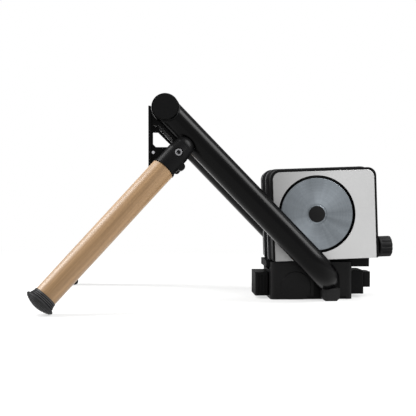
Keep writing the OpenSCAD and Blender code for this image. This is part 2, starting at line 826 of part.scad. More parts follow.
// The flat silver face, left plain, with a round window for the flywheel
module silver_face() {
  color("#c9cacb") difference() {
    at_unit() slab(-shell_outer_y, -shell_outer_y + face_sheet)
      translate([face_x, face_z]) face_outline(face_length, face_height, shell_corner - border + 2, 2);
    at_roller() bar_y(-shell_outer_y - past, 0, 2 * window_r);
  }
}

module far_shell() {
  color("#17171a") difference() {
    shell_tray(shell_outer_y);
    at_inlet() bar_x(-2 * shell_wall, 2 * shell_wall, inlet_d + 2 * running);
    at_shell_screws()
      bar_y(shell_outer_y - shell_wall - past, shell_outer_y + past, screw_hole + 2 * running);
    at_shell_screws() bar_y(shell_outer_y - 2.3, shell_outer_y + past, 2 * screw_hole + 0.6);
  }
}

// Four screws hold each shell to its bearing plate
module shell_screws() {
  color("#6f7174") at_shell_screws() {
    bar_y(channel_half + 3, shell_outer_y - 0.5, screw_hole);
    bar_y(shell_outer_y - 2, shell_outer_y - 0.4, 2 * screw_hole);
    far_side() {
      bar_y(channel_half + 0.4, shell_outer_y - 0.5 - shell_wall - 2, screw_hole);
      bar_y(channel_half + 0.4, channel_half + 2, 2 * screw_hole);
    }
  }
}

bridge_x = shell_x + shell_length - 16;
bridge_end = shell_x + shell_length;
neck_end = bridge_end + 18;

// A block that ties the two plates together at the rear, with the neck that the screw turns in
module rear_bridge() {
  color("#202023") at_unit() difference() {
    union() {
      translate([bridge_x, -channel_half + seat, face_z])
        cube([bridge_end - bridge_x, 2 * channel_half - 2 * seat, 64]);
      translate([0, 0, screw_dz]) bar_x(bridge_end - past, neck_end, 26);
    }
    translate([0, 0, screw_dz]) bar_x(bridge_x - past, neck_end + past, screw_d + 2 * running);
  }
}

module shaft_bearings() {
  color("#d2d4d6") at_roller()
    for (side = [0, 1]) mirror([0, side, 0]) difference() {
      bar_y(plate_y + 2, plate_y + 2 + bearing_width, bearing_d);
      bar_y(plate_y, plate_y + 2 * bearing_width, shaft_d + 2 * running);
    }
}

module roller_shaft() {
  color("#bfc1c4") at_roller() bar_y(-shell_outer_y + 2.5, carrier_y - 1, shaft_d);
}

// The roller that the tyre turns
module roller() {
  color("#8f9194") at_roller() difference() {
    bar_y(-channel_half + 3, channel_half - 3, roller_d);
    bar_y(-channel_half, channel_half, shaft_d + 2 * running);
  }
}

flywheel_y = shell_outer_y - 1.5;

// A turned flywheel with bevelled edges and a shallow ring round its centre
module flywheel() {
  color("#a7abb2") at_roller() difference() {
    union() {
      bar_y(-flywheel_y + 1.5, -flywheel_y + flywheel_thickness - 1.5, flywheel_d);
      translate([0, -flywheel_y, 0]) rotate([-90, 0, 0])
        cylinder(h = 1.5, d1 = flywheel_d - 3, d2 = flywheel_d);
      translate([0, -flywheel_y + flywheel_thickness - 1.5, 0]) rotate([-90, 0, 0])
        cylinder(h = 1.5, d1 = flywheel_d, d2 = flywheel_d - 3);
    }
    bar_y(-shell_outer_y, 0, shaft_d + 2 * running);
    difference() {
      bar_y(-flywheel_y - past, -flywheel_y + 0.8, hub_d + 8);
      bar_y(-flywheel_y - 2 * past, -flywheel_y + past, hub_d + 2);
    }
  }
}

module hub_cap() {
  color("#3c3f44") at_roller() {
    bar_y(-flywheel_y - 1.8, -flywheel_y - seat, hub_d);
    translate([0, -flywheel_y - 1.8, 0]) rotate([90, 0, 0]) cylinder(h = 0.8, d1 = hub_d, d2 = hub_d - 4);
  }
}

// The metal disc that the magnets brake, inside the far shell
module brake_rotor() {
  color("#c2c4c6") at_roller() difference() {
    bar_y(rotor_y, rotor_y + 5, rotor_d);
    bar_y(rotor_y - past, rotor_y + 6, shaft_d + 2 * running);
  }
}

// The ring of magnets that faces the rotor
module magnet_carrier() {
  color("#4a4c50") at_roller() difference() {
    bar_y(carrier_y, shell_outer_y - shell_wall - seat, rotor_d - 6);
    bar_y(carrier_y - past, shell_outer_y, rotor_d - 40);
  }
}

module circuit_board() {
  color("#1f5a34") at_unit()
    slab(shell_outer_y - shell_wall - 1.9, shell_outer_y - shell_wall - seat)
      translate([bridge_end - 52, face_z + 28]) square([42, 62]);
}

inlet_d = 12;
module at_inlet() {
  at_unit() translate([bridge_end - shell_wall / 2, shell_outer_y - 24, face_z + 34]) children();
}

// A round low-voltage inlet in the far shell's rear wall
module power_inlet() {
  color("#101012") at_inlet() difference() {
    union() {
      bar_x(-8, shell_wall / 2 + 1, inlet_d);
      bar_x(shell_wall / 2 + seat, shell_wall / 2 + 2.5, inlet_d + 4);
    }
    bar_x(-5, 2 * shell_wall, inlet_d - 4);
  }
}

knob_x = neck_end + seat;

// A fluted hand knob with a bevelled, slightly crowned end
module tension_knob() {
  color("#242427") at_unit() translate([0, 0, screw_dz]) difference() {
    union() {
      bar_x(knob_x, knob_x + tension_knob_length - 2.5, tension_knob_d);
      translate([knob_x + tension_knob_length - 2.5, 0, 0]) rotate([0, 90, 0])
        cylinder(h = 2.5, d1 = tension_knob_d, d2 = tension_knob_d - 7);
    }
    for (angle = [0 : 30 : 330])
      rotate([angle, 0, 0]) translate([0, 0, tension_knob_d / 2 + 1.5])
        bar_x(knob_x + 3, knob_x + tension_knob_length + past, 6);
    bar_x(knob_x - past, knob_x + 14, screw_d + 2 * running);
  }
}

// The long screw from the knob to the barrel nut, under the roller
module tension_screw() {
  color("#a4a6a9") at_unit() translate([0, 0, screw_dz])
    bar_x(-post_half - 6, knob_x + 14 - seat, screw_d);
}

frame_tube();
left_clamp_housing();
right_clamp_housing();
left_adjuster_knob();
left_axle_cup();
right_axle_cup();
cup_key_screws();
lever_clevis();
lever_pin();
clamp_lever();
return_spring();
left_leg_bracket();
right_leg_bracket();
bracket_rivets();
frame_pads();
left_hinge_bolt();
right_hinge_bolt();
left_leg_socket();
right_leg_socket();
left_wooden_leg();
right_wooden_leg();
left_rubber_foot();
right_rubber_foot();
left_stop_pin();
right_stop_pin();
base_housing();
crossbar_saddle();
saddle_screws();
front_end_block();
rear_end_block();
rear_end_cap();
unit_pivot_pin();
tension_post();
tension_nut();
unit_chassis();
near_bearing_plate();
far_bearing_plate();
near_shell();
silver_face();
far_shell();
rear_bridge();
shaft_bearings();
roller_shaft();
roller();
flywheel();
hub_cap();
brake_rotor();
magnet_carrier();
circuit_board();
power_inlet();
shell_screws();
tension_knob();
tension_screw();
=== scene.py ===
import json
import math
import bmesh
import bpy
import numpy as np
from mathutils import Matrix, Vector


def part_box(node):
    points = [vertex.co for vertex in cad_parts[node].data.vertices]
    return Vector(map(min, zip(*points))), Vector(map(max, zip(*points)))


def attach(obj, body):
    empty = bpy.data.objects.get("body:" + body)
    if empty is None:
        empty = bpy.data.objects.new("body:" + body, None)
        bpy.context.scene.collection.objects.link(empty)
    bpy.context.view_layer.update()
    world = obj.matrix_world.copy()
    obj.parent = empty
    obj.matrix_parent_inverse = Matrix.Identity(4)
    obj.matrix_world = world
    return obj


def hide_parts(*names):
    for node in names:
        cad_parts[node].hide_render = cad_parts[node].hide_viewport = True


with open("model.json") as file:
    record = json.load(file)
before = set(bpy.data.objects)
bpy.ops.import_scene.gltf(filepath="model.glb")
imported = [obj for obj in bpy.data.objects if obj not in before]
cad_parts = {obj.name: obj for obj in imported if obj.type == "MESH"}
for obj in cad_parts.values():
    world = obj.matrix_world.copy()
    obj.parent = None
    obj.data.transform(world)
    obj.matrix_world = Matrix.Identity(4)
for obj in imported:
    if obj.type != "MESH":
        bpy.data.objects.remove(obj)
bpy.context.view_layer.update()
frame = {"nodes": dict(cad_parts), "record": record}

scene = bpy.context.scene
nodes = frame["nodes"]
joints = {joint["name"]: joint for joint in frame["record"]["behaviour"]["joints"]}


# helpers for shader trees

def feed(tree, socket, value):
    # a socket takes a plain value or another node's output
    if isinstance(value, (int, float, tuple)):
        socket.default_value = value
    else:
        tree.links.new(value, socket)


def addNode(tree, kind, **values):
    node = tree.nodes.new("ShaderNode" + kind)
    for key, value in values.items():
        setattr(node, key, value)
    return node


def noiseNode(tree, vector, scale, detail, rough=0.5):
    node = addNode(tree, "TexNoise")
    for label, value in (("Detail", detail), ("Roughness", rough), ("Scale", scale), ("Vector", vector)):
        feed(tree, node.inputs[label], value)
    return node.outputs["Fac"]


def spread(tree, source, low, high, fromLow=0.3, fromHigh=0.7):
    # maps source from one range to another; 0.3 to 0.7 holds most of a noise
    node = addNode(tree, "MapRange")
    for label, value in (("From Min", fromLow), ("From Max", fromHigh), ("To Min", low), ("To Max", high),
                         ("Value", source)):
        feed(tree, node.inputs[label], value)
    return node.outputs["Result"]


def mathNode(tree, operation, *values):
    node = addNode(tree, "Math", operation=operation)
    for index, value in enumerate(values):
        feed(tree, node.inputs[index], value)
    return node.outputs[0]


def vectorNode(tree, operation, *values):
    node = addNode(tree, "VectorMath", operation=operation)
    for index, value in enumerate(values):
        feed(tree, node.inputs[index], value)
    return node


def mixColour(tree, factor, first, second):
    # inputs 0, 6 and 7 are the factor and the two colours, output 2 the mixed colour
    node = addNode(tree, "Mix", data_type="RGBA")
    for index, value in ((0, factor), (6, first), (7, second)):
        feed(tree, node.inputs[index], value)
    return node.outputs[2]


def split(tree, vector):
    node = addNode(tree, "SeparateXYZ")
    tree.links.new(vector, node.inputs[0])
    return node.outputs


def objectPlace(tree):
    return addNode(tree, "TexCoord").outputs["Object"]


def facingUp(tree):
    return split(tree, addNode(tree, "NewGeometry").outputs["Normal"])["Z"]


def newMaterial(name):
    material = bpy.data.materials.new(name)
    material.use_nodes = True
    tree = material.node_tree
    return material, tree, tree.nodes["Principled BSDF"]


# camera, lights and floor

cameraView = {"behindAxle": 0.0169, "distance": 1.710, "height": 0.2172, "lens": 73.73, "sensor": 36,
              "turnRight": 3.49, "tiltDown": 1.28}
studio = {"worldFill": 0.22, "floorColour": (0.62, 0.62, 0.615, 1), "floorRough": 0.9, "floorGlow": 0.62,
          "floorSize": 12.0, "whiteFrom": 0.45, "whiteBy": 1.5, "floorShine": 1.7}
lamps = {
    "rightLight": dict(place=(1.13, -0.38, 1.32), target=(0, 0, 0.2), size=(0.8, 1.4), power=58.0),
    "leftLight": dict(place=(-1.38, 0.02, 1.25), target=(-0.15, -0.1, 0.15), size=(0.6, 1.5), power=72.0),
    "frontLight": dict(place=(-0.2, -1.9, 0.9), target=(0, 0, 0.2), size=(1.4, 0.8), power=1.0),
    "backLight": dict(place=(0.1, 1.5, 1.3), target=(0, 0, 0.2), size=(1.4, 0.8), power=5.0),
}


def makeCamera():
    data = bpy.data.cameras.new("photoCamera")
    data.sensor_width = cameraView["sensor"]
    data.lens = cameraView["lens"]
    camera = bpy.data.objects.new("photoCamera", data)
    scene.collection.objects.link(camera)
    axleX = joints["lever_open"]["pos_m"][0]
    camera.location = (axleX - cameraView["behindAxle"], -cameraView["distance"], cameraView["height"])
    pitch, yaw = math.radians(90 - cameraView["tiltDown"]), -math.radians(cameraView["turnRight"])
    camera.rotation_euler = (pitch, 0, yaw)
    scene.camera = camera


def areaLight(name, place, target, size, power):
    data = bpy.data.lights.new(name, "AREA")
    data.shape = "RECTANGLE"
    data.size, data.size_y = size
    data.energy = power
    lamp = bpy.data.objects.new(name, data)
    scene.collection.objects.link(lamp)
    lamp.location = place
    lamp.rotation_euler = (Vector(target) - Vector(place)).to_track_quat("-Z", "Y").to_euler()


def seenRays(tree):
    # 1 for camera, reflected and transmitted rays, and the reflected ones alone
    rays = addNode(tree, "LightPath").outputs
    seen = mathNode(tree, "MAXIMUM", rays["Is Camera Ray"], rays["Is Glossy Ray"])
    return mathNode(tree, "MAXIMUM", seen, rays["Is Transmission Ray"]), rays["Is Glossy Ray"]


def makeStudio():
    world = bpy.data.worlds.new("paleStudio")
    scene.world = world
    world.use_nodes = True
    tree = world.node_tree
    tree.nodes.clear()
    fill = addNode(tree, "Background")
    fill.inputs["Strength"].default_value = studio["worldFill"]
    white = addNode(tree, "Background")
    white.inputs["Color"].default_value = (1, 1, 1, 1)
    mix = addNode(tree, "MixShader")
    for index, value in enumerate((seenRays(tree)[0], fill.outputs[0], white.outputs[0])):
        tree.links.new(value, mix.inputs[index])
    tree.links.new(mix.outputs[0], addNode(tree, "OutputWorld").inputs["Surface"])
    for name, lamp in lamps.items():
        areaLight(name, **lamp)


def makeFloor():
    half = studio["floorSize"] / 2
    mesh = bpy.data.meshes.new("studioFloor")
    corners = [(-half, -half, 0), (half, -half, 0), (half, half, 0), (-half, half, 0)]
    mesh.from_pydata(corners, [], [(0, 1, 2, 3)])
    floor = bpy.data.objects.new("studioFloor", mesh)
    scene.collection.objects.link(floor)
    paper, tree, shader = newMaterial("palePaper")
    shader.inputs["Base Color"].default_value = studio["floorColour"]
    shader.inputs["Roughness"].default_value = studio["floorRough"]
    seen, reflected = seenRays(tree)
    glow = addNode(tree, "Emission")
    # the lit paper is brighter in the object's dark finishes
    tree.links.new(spread(tree, reflected, 1.0, studio["floorShine"], 0.0, 1.0), glow.inputs["Strength"])
    # and turns to plain white away from the object
    whiter = addNode(tree, "MapRange", interpolation_type="SMOOTHSTEP")
    away = vectorNode(tree, "LENGTH", objectPlace(tree)).outputs["Value"]
    for label, value in (("From Min", studio["whiteFrom"]), ("From Max", studio["whiteBy"]),
                         ("To Min", studio["floorGlow"]), ("Value", away)):
        feed(tree, whiter.inputs[label], value)
    share = mathNode(tree, "MULTIPLY", seen, whiter.outputs["Result"])
    mix = addNode(tree, "MixShader")
    for index, value in enumerate((share, shader.outputs[0], glow.outputs[0])):
        tree.links.new(value, mix.inputs[index])
    tree.links.new(mix.outputs[0], tree.nodes["Material Output"].inputs["Surface"])
    mesh.materials.append(paper)


makeCamera()
makeStudio()
makeFloor()
scene.view_settings.view_transform = "Standard"
print("camera, lights and floor are set")


# shader effects that several finishes share

def newGroup(name, inputs, outputs):
    group = bpy.data.node_groups.new(name, "ShaderNodeTree")
    for label, kind, value in inputs:
        socket = group.interface.new_socket(name=label, in_out="INPUT", socket_type="NodeSocket" + kind)
        socket.default_value = value
    for label, kind in outputs:
        group.interface.new_socket(name=label, in_out="OUTPUT", socket_type="NodeSocket" + kind)
    given, result = group.nodes.new("NodeGroupInput"), group.nodes.new("NodeGroupOutput")
    return group, given.outputs, result.inputs


filmLook = {"patchScale": 22, "speckScale": 900, "speckFrom": 0.45, "speckTo": 0.75, "steepShare": 0.25,
            "steepFrom": 0.2}


def surfaceFilmGroup():
    # handling marks and dust: broad patches lift the roughness, specks and upward faces lighten the colour
    group, given, result = newGroup("surfaceFilm",
                                    [("Colour", "Color", (0.1, 0.1, 0.1, 1)),
                                     ("Dust colour", "Color", (0.3, 0.29, 0.28, 1)),
                                     ("Dust", "Float", 0.1), ("Rough low", "Float", 0.35),
                                     ("Rough high", "Float", 0.5)],
                                    [("Colour", "Color"), ("Roughness", "Float")])
    look = filmLook
    place = objectPlace(group)
    patches = noiseNode(group, place, look["patchScale"], 5, 0.6)
    specks = spread(group, noiseNode(group, place, look["speckScale"], 2), 0.0, 1.0, look["speckFrom"],
                    look["speckTo"])
    upward = spread(group, facingUp(group), look["steepShare"], 1.0, look["steepFrom"], 1.0)
    dusty = mathNode(group, "MULTIPLY", mathNode(group, "MULTIPLY", specks, upward), given["Dust"])
    group.links.new(mixColour(group, dusty, given["Colour"], given["Dust colour"]), result["Colour"])
    group.links.new(spread(group, patches, given["Rough low"], given["Rough high"]), result["Roughness"])
    return group


def finishGrainGroup():
    # the height of a paint or moulded texture: a fine grain and a slower orange peel
    group, given, result = newGroup("finishGrain",
                                    [("Grain scale", "Float", 900.0), ("Peel scale", "Float", 120.0),
                                     ("Grain share", "Float", 0.5)],
                                    [("Height", "Float")])
    place = objectPlace(group)
    grain = noiseNode(group, place, given["Grain scale"], 2)
    peel = noiseNode(group, place, given["Peel scale"], 1)
    both = addNode(group, "Mix")  # inputs 2 and 3 are its two plain numbers
    for index, value in ((0, given["Grain share"]), (2, peel), (3, grain)):
        group.links.new(value, both.inputs[index])
    group.links.new(both.outputs[0], result["Height"])
    return group


def turnedRingsGroup():
    # lathe rings: noise read along the distance from an axis through Centre that runs along Y
    group, given, result = newGroup("turnedRings",
                                    [("Centre", "Vector", (0, 0, 0)), ("Ring scale", "Float", 1500.0),
                                     ("Broad scale", "Float", 180.0)],
                                    [("Rings", "Float"), ("Broad", "Float")])
    away = split(group, vectorNode(group, "SUBTRACT", objectPlace(group), given["Centre"]).outputs[0])
    squareX = mathNode(group, "MULTIPLY", away["X"], away["X"])
    squareZ = mathNode(group, "MULTIPLY", away["Z"], away["Z"])
    radius = mathNode(group, "SQRT", mathNode(group, "ADD", squareX, squareZ))
    for scale, label in (("Ring scale", "Rings"), ("Broad scale", "Broad")):
        line = addNode(group, "TexNoise", noise_dimensions="1D")
        group.links.new(radius, line.inputs["W"])
        group.links.new(given[scale], line.inputs["Scale"])
        group.links.new(line.outputs["Fac"], result[label])
    return group


surfaceFilm = surfaceFilmGroup()
finishGrain = finishGrainGroup()
turnedRings = turnedRingsGroup()
print("shared shader groups are made")


# finishes

def paintLook(colour, dust, rough, shine, grain, peel, share, bump, edge=0.0008):
    # shine is the specular level, grain and peel are texture scales, share is the grain's part
    return {"colour": colour, "dust": dust, "rough": rough, "shine": shine, "grain": grain, "peel": peel,
            "share": share, "bump": bump, "edge": edge}


def metalLook(colour, rough, ring, bump, edge=0.0005):
    # ring is the scale of the lathe rings, dulled the share of the colour in their dull bands
    return {"colour": colour, "rough": rough, "ring": ring, "bump": bump, "edge": edge, "dulled": 0.86}


paintLooks = {
    "satinBlackPaint": paintLook((0.0008, 0.0008, 0.0009), 0.006, (0.22, 0.27), 0.072, 1400, 160, 0.45,
                                 0.015, 0.0006),
    "bracketBlackPaint": paintLook((0.0026, 0.0026, 0.0028), 0.015, (0.40, 0.50), 0.055, 1300, 200, 0.5,
                                   0.015, 0.0007),
    "anodisedSocket": paintLook((0.0022, 0.0022, 0.0024), 0.02, (0.32, 0.42), 0.060, 1800, 240, 0.7, 0.04,
                                0.0010),
    "grainedKnob": paintLook((0.0075, 0.0075, 0.0078), 0.05, (0.50, 0.64), 0.07, 750, 300, 0.85, 0.20),
    "clampKnob": paintLook((0.0030, 0.0030, 0.0032), 0.03, (0.44, 0.56), 0.060, 900, 300, 0.8, 0.12),
    "shellPlastic": paintLook((0.0026, 0.0026, 0.0028), 0.02, (0.32, 0.42), 0.070, 1500, 400, 0.8, 0.05,
                              0.0010),
    "basePlastic": paintLook((0.0036, 0.0036, 0.0038), 0.04, (0.34, 0.46), 0.095, 1100, 300, 0.8, 0.08,
                             0.0011),
    "footRubber": paintLook((0.0085, 0.0085, 0.0088), 0.10, (0.55, 0.75), 0.13, 900, 200, 0.7, 0.14),
    "magnetPaint": paintLook((0.0050, 0.0050, 0.0052), 0.04, (0.45, 0.58), 0.09, 900, 200, 0.6, 0.06,
                             0.0006),
    "boardGreen": paintLook((0.012, 0.09, 0.035), 0.1, (0.35, 0.45), 0.5, 2000, 500, 0.5, 0.05, 0.0003),
}
metalLooks = {
    "zincSteel": metalLook((0.42, 0.42, 0.44), (0.24, 0.38), 1200, 0.03),
    "boltSteel": metalLook((0.20, 0.20, 0.205), (0.30, 0.42), 1300, 0.03, 0.0006),
    "plateSteel": metalLook((0.05, 0.05, 0.052), (0.30, 0.42), 1300, 0.03, 0.0006),
    "turnedSteel": metalLook((0.42, 0.43, 0.45), (0.28, 0.42), 1600, 0.06, 0.0006),
    "milledAluminium": metalLook((0.62, 0.63, 0.64), (0.28, 0.40), 900, 0.04),
    "turnedBrass": metalLook((0.60, 0.42, 0.17), (0.25, 0.38), 1500, 0.05),
}


def placeGroup(tree, group, values):
    node = tree.nodes.new("ShaderNodeGroup")
    node.node_tree = group
    for label, value in values.items():
        feed(tree, node.inputs[label], value)
    return node.outputs


def bumpNormal(tree, shader, height, strength, distance=0.0003, edge=0.0):
    bump = addNode(tree, "Bump")
    bump.inputs["Strength"].default_value = strength
    bump.inputs["Distance"].default_value = distance
    tree.links.new(height, bump.inputs["Height"])
    if edge > 0:  # rounds the look of sharp edges
        soft = addNode(tree, "Bevel", samples=4)
        soft.inputs["Radius"].default_value = edge
        tree.links.new(soft.outputs["Normal"], bump.inputs["Normal"])
    tree.links.new(bump.outputs["Normal"], shader.inputs["Normal"])


grazeLook = {"faceOnLoss": 0.30, "edgeOnLoss": 0.62, "edgeOnFrom": 0.94, "belowFrom": -0.55,
             "aboveFrom": -0.15}


def grazingShine(tree, shine):
    # dark finishes lose their sheen where they are seen edge on, except on their undersides
    look = grazeLook
    edgeOn = addNode(tree, "LayerWeight").outputs["Facing"]
    seen = spread(tree, edgeOn, 0.0, look["edgeOnFrom"], look["faceOnLoss"], look["edgeOnLoss"])
    above = spread(tree, facingUp(tree), 0.0, 1.0, look["belowFrom"], look["aboveFrom"])
    lost = mathNode(tree, "MULTIPLY", seen, above)
    return mathNode(tree, "MULTIPLY", mathNode(tree, "SUBTRACT", 1.0, lost), shine)


def paintMaterial(name, look):
    material, tree, shader = newMaterial(name)
    film = placeGroup(tree, surfaceFilm, {"Colour": (*look["colour"], 1), "Dust": look["dust"],
                                          "Rough low": look["rough"][0], "Rough high": look["rough"][1]})
    grain = placeGroup(tree, finishGrain, {"Grain scale": look["grain"], "Peel scale": look["peel"],
                                           "Grain share": look["share"]})
    tree.links.new(film["Colour"], shader.inputs["Base Color"])
    tree.links.new(film["Roughness"], shader.inputs["Roughness"])
    tree.links.new(grazingShine(tree, look["shine"]), shader.inputs["Specular IOR Level"])
    bumpNormal(tree, shader, grain["Height"], look["bump"], edge=look["edge"])
    return material


def turnedMaterial(name, look, centre):
    material, tree, shader = newMaterial(name)
    rings = placeGroup(tree, turnedRings, {"Centre": tuple(centre), "Ring scale": look["ring"]})
    low = tuple(look["dulled"] * c for c in look["colour"])
    shade = mixColour(tree, spread(tree, rings["Broad"], 0.0, 1.0), (*low, 1), (*look["colour"], 1))
    tree.links.new(shade, shader.inputs["Base Color"])
    tree.links.new(spread(tree, rings["Rings"], *look["rough"]), shader.inputs["Roughness"])
    shader.inputs["Metallic"].default_value = 1.0
    bumpNormal(tree, shader, rings["Rings"], look["bump"], edge=look["edge"])
    return material


woodLook = {"light": (0.285, 0.176, 0.088, 1), "dark": (0.160, 0.092, 0.040, 1),
            "fleck": (0.11, 0.060, 0.026, 1), "band": (75, 2.0), "line": (520, 7.0), "pore": (1500, 110),
            "bandRange": (0.34, 0.66), "lineRange": (0.4, 0.7), "poreRange": (0.60, 0.72),
            "lineShare": 0.45, "fleckShare": 0.22, "rough": (0.42, 0.50), "patchScale": 30,
            "lacquer": 0.26, "lacquerRough": 0.42, "shine": 0.24, "bump": 0.02, "poreDepth": 0.00005}


def woodGrainGroup():
    # beech: slow colour bands, lines and fine pores, each with a scale across and one along Z of the leg
    group, given, result = newGroup("woodGrain",
                                    [("Along", "Vector", (0, 0, 0)), ("Light", "Color", woodLook["light"]),
                                     ("Dark", "Color", woodLook["dark"]),
                                     ("Fleck", "Color", woodLook["fleck"])],
                                    [("Colour", "Color"), ("Pores", "Float")])

    def stretched(scales):
        node = addNode(group, "Mapping")
        node.inputs["Scale"].default_value = (scales[0], scales[0], scales[1])
        group.links.new(given["Along"], node.inputs["Vector"])
        return node.outputs[0]

    bands = noiseNode(group, stretched(woodLook["band"]), 1.0, 4, 0.6)
    bands = spread(group, bands, 0.0, 1.0, *woodLook["bandRange"])
    lines = noiseNode(group, stretched(woodLook["line"]), 1.0, 3, 0.55)
    lines = spread(group, lines, 0.0, 1.0, *woodLook["lineRange"])
    pores = noiseNode(group, stretched(woodLook["pore"]), 1.0, 2)
    pores = spread(group, pores, 0.0, 1.0, *woodLook["poreRange"])
    colour = mixColour(group, bands, given["Light"], given["Dark"])
    lined = mathNode(group, "MULTIPLY", lines, woodLook["lineShare"])
    colour = mixColour(group, lined, colour, given["Dark"])
    flecked = mathNode(group, "MULTIPLY", pores, woodLook["fleckShare"])
    colour = mixColour(group, flecked, colour, given["Fleck"])
    group.links.new(colour, result["Colour"])
    group.links.new(pores, result["Pores"])
    return group


woodGrain = woodGrainGroup()


def woodMaterial(name, turn):
    # turn is the leg's rotation, so that the grain runs along the leg
    material, tree, shader = newMaterial(name)
    along = addNode(tree, "Mapping", vector_type="TEXTURE")
    along.inputs["Rotation"].default_value = turn
    place = objectPlace(tree)
    tree.links.new(place, along.inputs["Vector"])
    grain = placeGroup(tree, woodGrain, {"Along": along.outputs[0]})
    tree.links.new(grain["Colour"], shader.inputs["Base Color"])
    patches = noiseNode(tree, place, woodLook["patchScale"], 4)
    tree.links.new(spread(tree, patches, *woodLook["rough"]), shader.inputs["Roughness"])
    shader.inputs["Specular IOR Level"].default_value = woodLook["shine"]
    shader.inputs["Coat Weight"].default_value = woodLook["lacquer"]
    shader.inputs["Coat Roughness"].default_value = woodLook["lacquerRough"]
    bumpNormal(tree, shader, grain["Pores"], woodLook["bump"], -woodLook["poreDepth"])
    return material


# the dull colour is painted shade at the face's front edge, fading out over a share of its width
faceLook = {"bright": (0.42, 0.42, 0.42, 1), "cloudy": (0.3948, 0.3948, 0.3948, 1),
            "dull": (0.235, 0.235, 0.235, 1), "shadeFadeTo": 0.55, "dentScale": 2600, "cloudScale": 14,
            "bump": 0.10, "rough": (0.40, 0.52), "metal": 0.85, "edge": 0.0008}


def silverFaceMaterial():
    # bead-blasted sheet: an even sparkle of fine dents, slightly cloudy, with painted shade darkening it
    # towards its front edge
    material, tree, shader = newMaterial("blastedAluminium")
    look = faceLook
    place = objectPlace(tree)
    dents = noiseNode(tree, place, look["dentScale"], 2, 0.6)
    clouds = spread(tree, noiseNode(tree, place, look["cloudScale"], 4), 0.0, 1.0)
    low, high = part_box("silver_face")
    # painted shade: the colour darkens from the front edge across that share of the width
    clear = spread(tree, split(tree, place)["X"], 0.0, 1.0, low.x, low.x + look["shadeFadeTo"] * (high.x - low.x))
    colour = mixColour(tree, clear, look["dull"], mixColour(tree, clouds, look["cloudy"], look["bright"]))
    tree.links.new(colour, shader.inputs["Base Color"])
    tree.links.new(spread(tree, dents, *look["rough"]), shader.inputs["Roughness"])
    shader.inputs["Metallic"].default_value = look["metal"]
    bumpNormal(tree, shader, dents, look["bump"], edge=look["edge"])
    return material


# the fan and ray values set a painted reflection of spun metal, which scales the colour
flywheelLook = {"bright": (0.168, 0.186, 0.202, 1), "dull": (0.154, 0.171, 0.187, 1), "rings": 2600,
                "rough": (0.26, 0.40), "anisotropic": 0.9, "sheenFanTurn": 2.2, "sheenFanRange": (0.62, 1.30),
                "sheenRayScale": 26.0, "sheenRayDepth": 0.25, "most": 1.3, "bump": 0.10, "bumpDepth": 0.00025}


def flywheelMaterial(centre):
    # spun steel: rings by radius, with the highlight drawn out across them by the UV tangent, and a painted
    # reflection of bright fans and rays scaling its colour
    material, tree, shader = newMaterial("spunSteel")
    look = flywheelLook
    rings = placeGroup(tree, turnedRings, {"Centre": tuple(centre), "Ring scale": look["rings"]})
    base = mixColour(tree, spread(tree, rings["Broad"], 0.0, 1.0), look["dull"], look["bright"])
    # painted reflection: two opposite bright fans, cos(2 a + a set turn), and fine painted rays, noise read
    # along the angle only
    angle = split(tree, addNode(tree, "UVMap", uv_map="turned").outputs[0])["X"]
    sheenFans = mathNode(tree, "COSINE", mathNode(tree, "MULTIPLY_ADD", angle, 4 * math.pi, look["sheenFanTurn"]))
    rays = addNode(tree, "TexNoise", noise_dimensions="1D")
    rays.inputs["Scale"].default_value = look["sheenRayScale"]
    tree.links.new(angle, rays.inputs["W"])
    both = mathNode(tree, "ADD", spread(tree, rays.outputs["Fac"], -look["sheenRayDepth"], look["sheenRayDepth"]), sheenFans)
    paintedSheen = spread(tree, both, *look["sheenFanRange"], -look["most"], look["most"])
    shade = vectorNode(tree, "SCALE", base)
    tree.links.new(paintedSheen, shade.inputs["Scale"])
    tree.links.new(shade.outputs[0], shader.inputs["Base Color"])
    tree.links.new(spread(tree, rings["Rings"], *look["rough"]), shader.inputs["Roughness"])
    shader.inputs["Metallic"].default_value = 1.0
    shader.inputs["Anisotropic"].default_value = look["anisotropic"]
    tangent = addNode(tree, "Tangent", direction_type="UV_MAP", uv_map="turned")
    tree.links.new(tangent.outputs[0], shader.inputs["Tangent"])
    bumpNormal(tree, shader, rings["Rings"], look["bump"], look["bumpDepth"])
    return material


# surfaces worked out on a grid

def gridPiece(name, points, closeV=False, uvName=None, ridges=None):
    # points[i, j] is the surface at the i-th step round and the j-th step along; each cell is a quad.
    # closeV joins the last step along to the first, ridges gives each step along a value for the material
    countU, countV = points.shape[:2]
    here = np.arange(countU * countV).reshape(countU, countV)
    ahead = np.roll(here, -1, axis=0)
    quads = np.stack([here, ahead, np.roll(ahead, -1, axis=1), np.roll(here, -1, axis=1)], axis=-1)
    if not closeV:
        quads = quads[:, :-1]
    quads = quads.reshape(-1, 4)
    mesh = bpy.data.meshes.new(name)
    mesh.from_pydata(points.reshape(-1, 3), [], quads)
    if uvName:
        layer = mesh.uv_layers.new(name=uvName)
        stepU, stepV = np.divmod(quads, countV)
        lastCell = stepU.max(axis=1, keepdims=True) == countU - 1
        # the cell that closes the round ends at u = 1
        stepU = np.where(lastCell & (stepU == 0), countU, stepU)
        layer.data.foreach_set("uv", np.stack([stepU / countU, stepV / (countV - 1)], axis=-1).ravel())
    if ridges is not None:
        layer = mesh.attributes.new("ridge", "FLOAT", "POINT")
        layer.data.foreach_set("value", np.tile(ridges, countU))
    mesh.shade_smooth()
    piece = bpy.data.objects.new(name, mesh)
    scene.collection.objects.link(piece)
    return piece


def crossFrame(axis):
    # axis as a unit vector, and two more square to it and to each other, right-handed with it
    axis = np.array(axis, float) / np.linalg.norm(axis)
    start = np.array([0.0, 0, 1]) if abs(axis[2]) < 0.8 else np.array([1.0, 0, 0])
    first = np.cross(start, axis)
    first /= np.linalg.norm(first)
    return axis, first, np.cross(axis, first)


